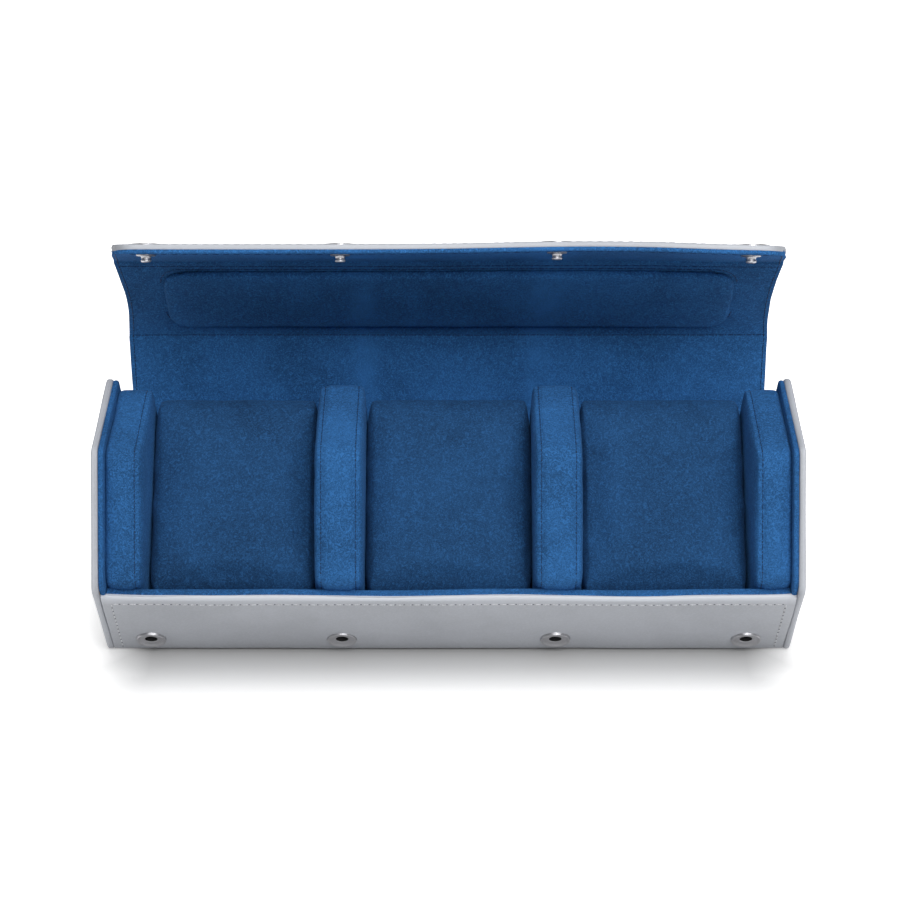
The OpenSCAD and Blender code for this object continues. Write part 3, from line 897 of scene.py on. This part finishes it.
def lid_layer(name, fold, y1, y2, depths, radii, end_radii, skin, replaced, shape=None, groove=0.0,
              groove_half=1.1 * MM):
    """A layer over a fold, from y1 on its first panel to y2 on its second, bent to a shape.

    The depths are its outer one and the inner ones on each panel. A groove hollows the fold's inside."""
    outer, inner1, inner2 = depths
    start = [flat(fold.first @ Vector((0, y1, z + fold.lift))) for z in (outer, inner1)]
    end = [flat(fold.second @ Vector((0, y2, z))) for z in (outer, inner2)]
    crease = fold.crossing(inner1, inner2)
    points = [start[0], fold.crossing(outer, outer), end[0], end[1], crease, start[1]]
    corners = [end_radii[0], radii[0], end_radii[1], end_radii[2], radii[1], end_radii[3]]
    outline = rounded(points, corners, FOLD_STEPS)
    is_flap = y2 > MID
    bm = bar(outline, -HALF_LID, HALF_LID, LID_CUTS, FLAP_STEP if is_flap else OUTLINE_STEP)
    if is_flap:
        cut_corners(bm)
    round_ends(bm, LID_EDGE_R, 2)
    from_first, from_second = fold.first.inverted(), fold.second.inverted()
    if groove:
        along = ((crease - start[1]).normalized() + (end[1] - crease).normalized()).normalized()
        out = Vector((0, along.y, -along.x))
        for v in bm.verts:
            d = abs((flat(v.co) - crease).dot(along)) / groove_half
            deep = min((from_first @ v.co).z - fold.lift, (from_second @ v.co).z)
            if d < 1 and deep > inner2 - 0.3 * MM:
                v.co += out * groove * (1 - d * d)
    if shape:
        for v in bm.verts:
            v.co = shape(v.co)

    def fade(co):
        """Less ripple near both ends, where the layer joins the next one."""
        return min(1, abs((from_first @ co).y - y1) / JOIN_FADE, abs((from_second @ co).y - y2) / JOIN_FADE)

    material, slot, seed = skin
    ripple(bm, LID_RIPPLE, seed, fade)
    obj = piece(name, bm, material, 60)
    fold.bend(obj)
    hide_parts(*replaced)
    return obj


BACK_NEAR = 1.9 * MM
MID = PANEL_W / 2
SKIN_IN = LEATHER_T - FOLD_R
IN = LID_T - FOLD_R
FLAP_IN = FLAP_T - FOLD_R


# The free edge rises at one place, droops at its right end and sags a little all along
RISE, RISE_AT, RISE_WIDE = 1.1, 0.4, 0.35
DROOP, DROOP_FROM = 0.8, 0.6
SAG = 0.2
BOW_POWER = 1.2


def warp(co):
    """The lid's free edge isn't quite straight: leather panels bow a little."""
    along = (AT_FRONT.inverted() @ co).y
    share = max(0.0, min(1.0, along / (PANEL_W + FLAP_L)))
    flap_y = (AT_FLAP.inverted() @ co).y
    if flap_y > 0:
        share = (PANEL_W + flap_y) / (PANEL_W + FLAP_L)
    x = co.x / HALF_LID
    rise = RISE * math.exp(-((x - RISE_AT) / RISE_WIDE) ** 2)
    bow = rise - DROOP * max(0.0, x - DROOP_FROM) / (1 - DROOP_FROM) - SAG
    out = Vector((0, math.sin(math.radians(FRONT_A)), -math.cos(math.radians(FRONT_A))))
    return co + out * bow * MM * share ** BOW_POWER


WAIST = 1.7 * MM
TAPER = 4.9 * MM
TIP_R = 8 * MM
TIP_TURN = 0.96
CORNER_CUTS = (0.9, 1.5, 3.1, 4, 5.3, 6.2)


def panel_shape(co):
    """Draws the sides of the front panel in a little halfway, then bows it."""
    t = (AT_FRONT.inverted() @ co).y / PANEL_W
    waist = WAIST * math.sin(math.pi * max(0.0, min(1.0, t)))
    return warp(Vector((co.x * (1 - waist / HALF_LID), co.y, co.z)))


def flap_shape(co):
    """Narrows the flap towards its rounded free corners, then bows the edge."""
    at = AT_FLAP.inverted() @ co
    if at.y > 0:
        x = at.x * (1 - TAPER * at.y / (FLAP_L * HALF_LID))
        past = (abs(x) - (HALF_LID - TAPER * at.y / FLAP_L - TIP_R)) / TIP_R
        past = max(0.0, min(TIP_TURN, past))
        near = max(0.0, min(1.0, 1 - (FLAP_L - at.y) / (2 * TIP_R)))
        drop = TIP_R * (1 - math.sqrt(1 - past ** 2)) * near
        co = AT_FLAP @ Vector((x, at.y - drop, at.z))
    return panel_shape(co)


def cut_corners(bm):
    """More cuts near the ends, where the corners turn."""
    for near in CORNER_CUTS:
        for side in (-1, 1):
            cut_across(bm, side * (HALF_LID - near * MM))


# The lid's suede layers take the suede with painted light
LEATHER_SKIN, SUEDE_SKIN = (LEATHER, "leather", 1), (LID_SUEDE_PAINTED_LIGHT, "suede", 2)
SKIN_DEPTHS, SUEDE_DEPTHS = (-FOLD_R, SKIN_IN, SKIN_IN), (SKIN_IN, IN, IN)
PLAIN_ENDS = (0, 0, 0, 0)
lid_back_skin = lid_layer("lid_back_skin", back_fold, BACK_NEAR, MID, SKIN_DEPTHS, (FOLD_R, 0.3 * MM),
                          (0.5 * MM, 0, 0, 0.4 * MM), LEATHER_SKIN, ("back_panel_leather", "back_fold"))
lid_front_skin = lid_layer("lid_front_skin", top_fold, MID, MID, SKIN_DEPTHS, (24 * MM, 23 * MM),
                           PLAIN_ENDS, LEATHER_SKIN, ("top_panel_leather", "top_fold"), panel_shape)
lid_flap_skin = lid_layer("lid_flap_skin", front_fold, MID, FLAP_L, (-FOLD_R, SKIN_IN, 0.9 * MM),
                          (24 * MM, 20 * MM), (0, 0.9 * MM, 0.5 * MM, 0), LEATHER_SKIN,
                          ("front_panel_leather", "front_fold", "flap_leather"), flap_shape)
lid_back_suede = lid_layer("lid_back_suede", back_fold, BACK_NEAR, MID, SUEDE_DEPTHS, (0.3 * MM, 0.4 * MM),
                           (0.5 * MM, 0, 0, 1 * MM), SUEDE_SKIN, ("back_panel_lining",), None, 2 * MM, 4 * MM)
lid_front_suede = lid_layer("lid_front_suede", top_fold, MID, MID, SUEDE_DEPTHS, (23 * MM, 20 * MM),
                            PLAIN_ENDS, SUEDE_SKIN, ("top_panel_lining", "front_panel_lining"),
                            panel_shape, 0.6 * MM)
lid_flap_suede = lid_layer("lid_flap_suede", front_fold, MID, FLAP_L - 0.2 * MM, (SKIN_IN, IN, FLAP_IN),
                           (23 * MM, 16 * MM), (0, 0.3 * MM, 0.8 * MM, 0), SUEDE_SKIN, ("flap_lining",),
                           flap_shape, 0.5 * MM)

# The flap's board follows its shape
EDGE_IN = 2 * MM
outline = [Vector((y, z)) for y, z in ((EDGE_IN, SKIN_IN), (FLAP_L - EDGE_IN, SKIN_IN),
                                       (FLAP_L - EDGE_IN, FLAP_IN - LINING_T), (EDGE_IN, FLAP_IN - LINING_T))]
bm = bar(outline, EDGE_IN - HALF_LID, HALF_LID - EDGE_IN, LID_CUTS)
cut_corners(bm)
bm.transform(AT_FLAP)
for v in bm.verts:
    v.co = flap_shape(v.co)
flap_card = piece("flap_card", bm, BOARD)
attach(flap_card, "flap")
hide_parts("flap_board")

# Where straps have pressed the lid's suede: middle and half-width along X, in mm, and how soft the edge is
IMPRINTS = ((-30.5, 4.5), (33.5, 5.5))
IMPRINT_SOFT = 1.2


def set_nap(obj):
    """Writes how far the nap is pressed at each vertex, from 0 to 1."""
    nap = obj.data.attributes.new("nap", "FLOAT", "POINT")
    pressed = []
    for v in obj.data.vertices:
        past = [(abs(v.co.x / MM - x) - half) / IMPRINT_SOFT for x, half in IMPRINTS]
        pressed.append(max(1 / (1 + math.exp(p)) for p in past))
    nap.data.foreach_set("value", pressed)


def edge_highlight(co):
    """The lid's leather is paler along its sides and its free edge: a painted highlight."""
    side = 1 - (HALF_LID - abs(co.x)) / (0.9 * MM)
    tip = 1 - (FLAP_L - (AT_FLAP.inverted() @ co).y) / (1.2 * MM)
    return 0.5 * max(side, tip)


for obj in (lid_front_suede, lid_flap_suede, lid_back_suede):
    set_nap(obj)
# Painted highlight along the lid leather's sides and free edge
for obj in (lid_front_skin, lid_flap_skin, lid_back_skin):
    set_painted_highlight(obj, edge_highlight)

FOLD_CLEAR = 2 * MM


def panel_row(fold, y1, y2, x, side):
    """A row along X = x over a fold, on the suede where side is 1 and on the leather where it is -1."""
    first_w = (fold.second.translation - fold.first.translation).length
    z = IN if side > 0 else -FOLD_R
    row = []
    for m, start, end, lift in ((fold.first, y1, first_w - FOLD_CLEAR, fold.lift),
                                (fold.second, FOLD_CLEAR, y2, 0)):
        for k in range(9):
            at = m @ Vector((x, start + (end - start) * k / 8, z + lift))
            row.append((flap_shape(at), -side * (m.to_3x3() @ Vector((0, 0, 1)))))
    return row


def cross_row(m, y, half, side, z=None):
    """A row across a panel at y, at a depth z if one is given."""
    z = (IN if side > 0 else -FOLD_R) if z is None else z
    look = -side * (m.to_3x3() @ Vector((0, 0, 1)))
    return [(warp(m @ Vector((half * k / 10, y, z))), look) for k in range(-10, 11)]


SIDE_IN = 1.5 * MM
LIP_IN = 2.2 * MM
SIDE_X = HALF_LID - SIDE_IN
LIP_HALF = SIDE_X - TAPER - 4 * MM
rim_row = cross_row(AT_BACK, 4 * MM, SIDE_X, -1, PIVOT_LIFT - FOLD_R)
top_row = cross_row(AT_TOP, PANEL_W - 1.3 * MM, SIDE_X, 1)
front_row = cross_row(AT_FRONT, PANEL_W - 2.6 * MM, SIDE_X, 1)
lip_row = cross_row(AT_FLAP, FLAP_L - LIP_IN, LIP_HALF, 1, FLAP_IN)
lip_row_outside = cross_row(AT_FLAP, FLAP_L - LIP_IN, LIP_HALF, -1)
for name, fold, y1, y2, inside, outside, inside_rows, outside_rows in (
        ("back", back_fold, 5 * MM, MID, lid_back_suede, lid_back_skin, [], [rim_row]),
        ("front", top_fold, MID, MID, lid_front_suede, lid_front_skin, [top_row], []),
        ("flap", front_fold, MID, FLAP_L - 4 * MM, lid_flap_suede, lid_flap_skin, [front_row, lip_row],
         [lip_row_outside])):
    for cloth, side, extra, kind in ((inside, 1, inside_rows, IN_SUEDE),
                                     (outside, -1, outside_rows, IN_LEATHER)):
        rows = [panel_row(fold, y1, y2, x, side) for x in (-SIDE_X, SIDE_X)] + extra
        fold.bend(sewn(f"lid_{name}_{kind[1]}_stitches", rows, cloth, kind, LID_STITCH))

# The raised pad on the front panel's inside, with a seam close round it
LID_PAD_VOXEL, LID_PAD_IN, LID_PAD_SWELL, LID_PAD_FILL = 0.8 * MM, -0.1 * MM, 0.6 * MM, 0.5
PAD_SINK = 0.3 * MM
PAD_PLACE = AT_FRONT @ Matrix.Translation((0, 0, PAD_SINK))
lid_pad = soft_block("lid_pad", "lid_cushion", LID_PAD_VOXEL, LID_PAD_IN, LID_PAD_SWELL, 5, PAD_PLACE)
swell([lid_pad])
for v in lid_pad.data.vertices:
    v.co = warp(AT_FRONT @ v.co)
finished_block(lid_pad, "front_panel", ("lid_pad", "lid_pad_foam"))
set_nap(lid_pad)
# The lid pad takes the suede with painted light
lid_pad.data.materials[0] = LID_SUEDE_PAINTED_LIGHT
PAD_HALF, PAD_LOW, PAD_HIGH, PAD_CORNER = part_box("lid_pad")[1].x, 9 * MM, 45 * MM, 8 * MM
PAD_MIDDLE = (PAD_LOW + PAD_HIGH) / 2
SEAM_WIDER, SEAM_TALLER = 1 + 0.9 * MM / PAD_HALF, 1.05
corners = [Vector(p) for p in ((-PAD_HALF, PAD_LOW), (PAD_HALF, PAD_LOW),
                               (PAD_HALF, PAD_HIGH), (-PAD_HALF, PAD_HIGH))]
ring = rounded(corners, [PAD_CORNER] * 4, 8)
look = -(AT_FRONT.to_3x3() @ Vector((0, 0, 1)))
low, high = [], []
for p in ring + ring[:1]:
    y = (p.y - PAD_MIDDLE) * SEAM_TALLER + PAD_MIDDLE
    at = warp(AT_FRONT @ Vector((p.x * SEAM_WIDER, y, IN)))
    part = low if (AT_FRONT.inverted() @ at).y < MID else high
    part.append((at, look))
for name, part, cloth, fold in (("low", low, lid_front_suede, top_fold),
                                ("high", high, lid_flap_suede, front_fold)):
    fold.bend(sewn(f"pad_seam_{name}", [part], cloth, IN_SUEDE, LID_PAD_STITCH))

# ---- Tray stitching ----

TRAY_SIDE_IN = 3.0 * MM
TRAY_LIP_IN = 4.6 * MM


def wall_row(face, x0, x1, z0, z1):
    """A straight row on one of the tray's outer sides, between two places given by X and height."""
    a = math.radians(face)
    look = Vector((0, -math.cos(a), -math.sin(a)))
    row = []
    for k in range(11):
        z = z0 + (z1 - z0) * k / 10
        p = on_line(face, APOTHEM, z - APOTHEM)
        row.append((Vector((x0 + (x1 - x0) * k / 10, p.x, z)), look))
    return row


wall_top = {FRONT_LOW: APOTHEM + FRONT_RIM - TRAY_LIP_IN * COS_30,
            BACK_LOW: APOTHEM + BACK_RIM - TRAY_LIP_IN * COS_30}
x = WRAP_HALF - TRAY_SIDE_IN
rows = []
for face, top in wall_top.items():
    rows.append(wall_row(face, -x, x, top, top))
    rows += [wall_row(face, side, side, top, 2 * MM) for side in (-x, x)]
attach(sewn("tray_stitches", rows, tray_wrap, IN_LEATHER, TRAY_STITCH), "tray")
CAP_ROW_IN, CAP_ROW_R = 2.4 * MM, CORNER_R * 0.6
outline = hexagon([CAP_ROW_IN] * 6, CAP_ROW_R)
for side, skin, name in ((-1, left_cap, "left"), (1, right_cap, "right")):
    look = Vector((-side, 0, 0))
    row = [(Vector((side * HALF_CASE, p.x, p.y + APOTHEM)), look) for p in outline + outline[:1]]
    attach(sewn(f"{name}_cap_stitches", [row], skin, IN_LEATHER, CAP_STITCH), "tray")

# ---- Snaps ----

SNAP_U = 39.25 * MM


def lathe(bm, profile, at, steps=40):
    """Adds a turned shape: its profile is (radius, height) in mm, spun round the Z axis of a placement."""
    verts = [bm.verts.new((r * MM, 0, z * MM)) for r, z in profile]
    edges = [bm.edges.new(pair) for pair in zip(verts, verts[1:])]
    bmesh.ops.spin(bm, geom=verts + edges, cent=(0, 0, 0), axis=(0, 0, 1), angle=2 * math.pi,
                   steps=steps, use_merge=True)
    new = [v for v in bm.verts if not v.tag]
    bmesh.ops.remove_doubles(bm, verts=new, dist=1e-6)
    new = [v for v in bm.verts if not v.tag]
    bmesh.ops.transform(bm, matrix=at, verts=new)
    for v in bm.verts:
        v.tag = True


def turned(name, profile, places, body, node, bore=0.0):
    """Snap parts at their places, with painted shade inside the bore's radius below the snap's surface."""
    bm = bmesh.new()
    for at in places:
        lathe(bm, profile, at)
    bmesh.ops.recalc_face_normals(bm, faces=bm.faces)
    for face in bm.faces:
        at = min(places, key=lambda m: (m.translation - face.calc_center_median()).length)
        reach = at.inverted() @ face.calc_center_median()
        # Faces down in the bore take the painted shade
        if math.hypot(reach.x, reach.y) < bore and reach.z < 0:
            face.material_index = 1
    obj = piece(name, bm, NICKEL, 35)
    obj.data.materials.append(BORE_SHADE)
    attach(obj, body)
    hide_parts(node)


SOCKET = [(0, -2.6), (2.0, -2.6), (2.1, -2.5), (2.1, -0.05), (2.2, 0.08), (2.4, 0.14), (3.3, 0.16),
          (3.7, 0.22), (4.1, 0.42), (4.35, 0.6), (4.55, 0.72), (4.72, 0.76), (4.88, 0.72), (4.98, 0.58),
          (5.02, 0.35), (5.05, 0.05), (5.2, -0.3), (2.9, -0.5), (2.8, -2.75), (0, -2.8)]
SOCKET_BORE = 2.15 * MM
turned("sockets", SOCKET, SOCKET_PLACES, "tray", "snap_sockets", SOCKET_BORE)


def on_flap(x, side):
    """Where a stud sits inside the flap (side 1) or a cap outside it (side -1), its Z axis pointing away."""
    at = warp(AT_FLAP @ Vector((x, SNAP_U, FLAP_IN if side > 0 else -FOLD_R)))
    right = Vector((side, 0, 0))
    out = AT_FLAP.to_3x3() @ Vector((0, 0, side))
    return Matrix.Translation(at) @ Matrix((right, out.cross(right), out)).transposed().to_4x4()


STUD = [(0, -0.1), (3.3, -0.1), (3.3, 0.2), (3.15, 0.36), (2.9, 0.42), (2.2, 0.48), (1.75, 0.62),
        (1.58, 0.95), (1.54, 1.3), (1.6, 1.55), (1.74, 1.8), (1.74, 2.05), (1.62, 2.3), (1.4, 2.45),
        (0.9, 2.52), (0, 2.55)]
CAP = [(0, -0.3), (6.0, -0.3), (6.0, 0.12), (5.9, 0.24), (5.7, 0.26), (5.45, 0.16), (5.25, 0.2),
       (4.4, 0.38), (3.0, 0.52), (1.5, 0.6), (0, 0.62)]
turned("studs", STUD, [on_flap(x, 1) for x in SNAP_X], "flap", "flap_studs")
turned("caps", CAP, [on_flap(x, -1) for x in SNAP_X], "flap", "flap_caps")

# ---- Floor, light and camera ----

# Along each axis, from the case's middle: the floor is plain up to the first place and white from the second
FLOOR_WHITENS = {"X": (0.1, 0.14), "Y": (0.037, 0.08)}
# Painted shadow: it is darker up to the first place, where the case's foot meets it, and plain from the
# second
PAINTED_SHADOW_REACH = {"X": (0.103, 0.12), "Y": (0.022, 0.037)}
PAINTED_SHADOW_GREY, FLOOR_GREY = (0.42, 0.42, 0.42), (0.84, 0.84, 0.84)
bpy.ops.mesh.primitive_plane_add(size=8)
floor = bpy.context.object
floor.name = "floor"
f = Finish("white_floor", (0.82, 0.82, 0.82), 0.9)
spot = f.node("SeparateXYZ", {0: f.coords}).outputs
from_middle = {axis: f.node("Math", {0: spot[axis]}, operation="ABSOLUTE").outputs[0] for axis in "XY"}
far = [f.spread(from_middle[axis], *FLOOR_WHITENS[axis]) for axis in "XY"]
squares = [f.node("Math", {0: d, 1: 2.0}, operation="POWER").outputs[0] for d in far]
away = f.node("Math", {0: f.sum(*squares), 1: 0.5}, operation="POWER").outputs[0]
past_painted_shadow = [f.spread(from_middle[axis], *PAINTED_SHADOW_REACH[axis]) for axis in "XY"]
clear = f.sum(*past_painted_shadow, kind="MAXIMUM")
# Painted shadow round the case's foot, in the floor's own colour
f.link(f.blend(clear, PAINTED_SHADOW_GREY, FLOOR_GREY), "Base Color")
strength = f.sum(f.spread(away, 0, 1), f.seen_directly(), kind="MULTIPLY")
f.bsdf.inputs["Emission Color"].default_value = (1, 1, 1, 1)
f.link(strength, "Emission Strength")
floor.data.materials.append(f.mat)

# The room lights the case a little less than it looks
ROOM_LIGHT, ROOM_SEEN = 0.7, 1.0
world = bpy.data.worlds.new("studio")
bpy.context.scene.world = world
world.use_nodes = True
room = Nodes(world.node_tree)
strength = room.spread(room.seen_directly(), 0, 1, ROOM_LIGHT, ROOM_SEEN)
room.tree.links.new(strength, room.tree.nodes["Background"].inputs["Strength"])


def softbox(name, at, aim, size, watts):
    """A soft rectangular lamp that shines at a point."""
    light = bpy.data.lights.new(name, "AREA")
    light.shape = "RECTANGLE"
    light.size, light.size_y = size
    light.energy = watts
    lamp = bpy.data.objects.new(name, light)
    bpy.context.scene.collection.objects.link(lamp)
    lamp.location = at
    lamp.rotation_euler = (Vector(aim) - Vector(at)).to_track_quat("-Z", "Y").to_euler()


softbox("key", (0.25, -0.85, 1.0), (0, 0, 0.05), (0.9, 0.7), 13)
softbox("overhead", (0, 0, 1.3), (0, 0, 0), (1.3, 0.9), 9)

CAMERA_AT = (0.47 * MM, -703.7 * MM, 504.6 * MM)
LOOKS_DOWN = 31.98
camera = bpy.data.objects.new("camera", bpy.data.cameras.new("camera"))
bpy.context.scene.collection.objects.link(camera)
camera.location = CAMERA_AT
camera.rotation_euler = (math.radians(90 - LOOKS_DOWN), 0, 0)
camera.data.sensor_width = 36
camera.data.lens = 100
bpy.context.scene.camera = camera
bpy.context.scene.view_settings.view_transform = "Standard"
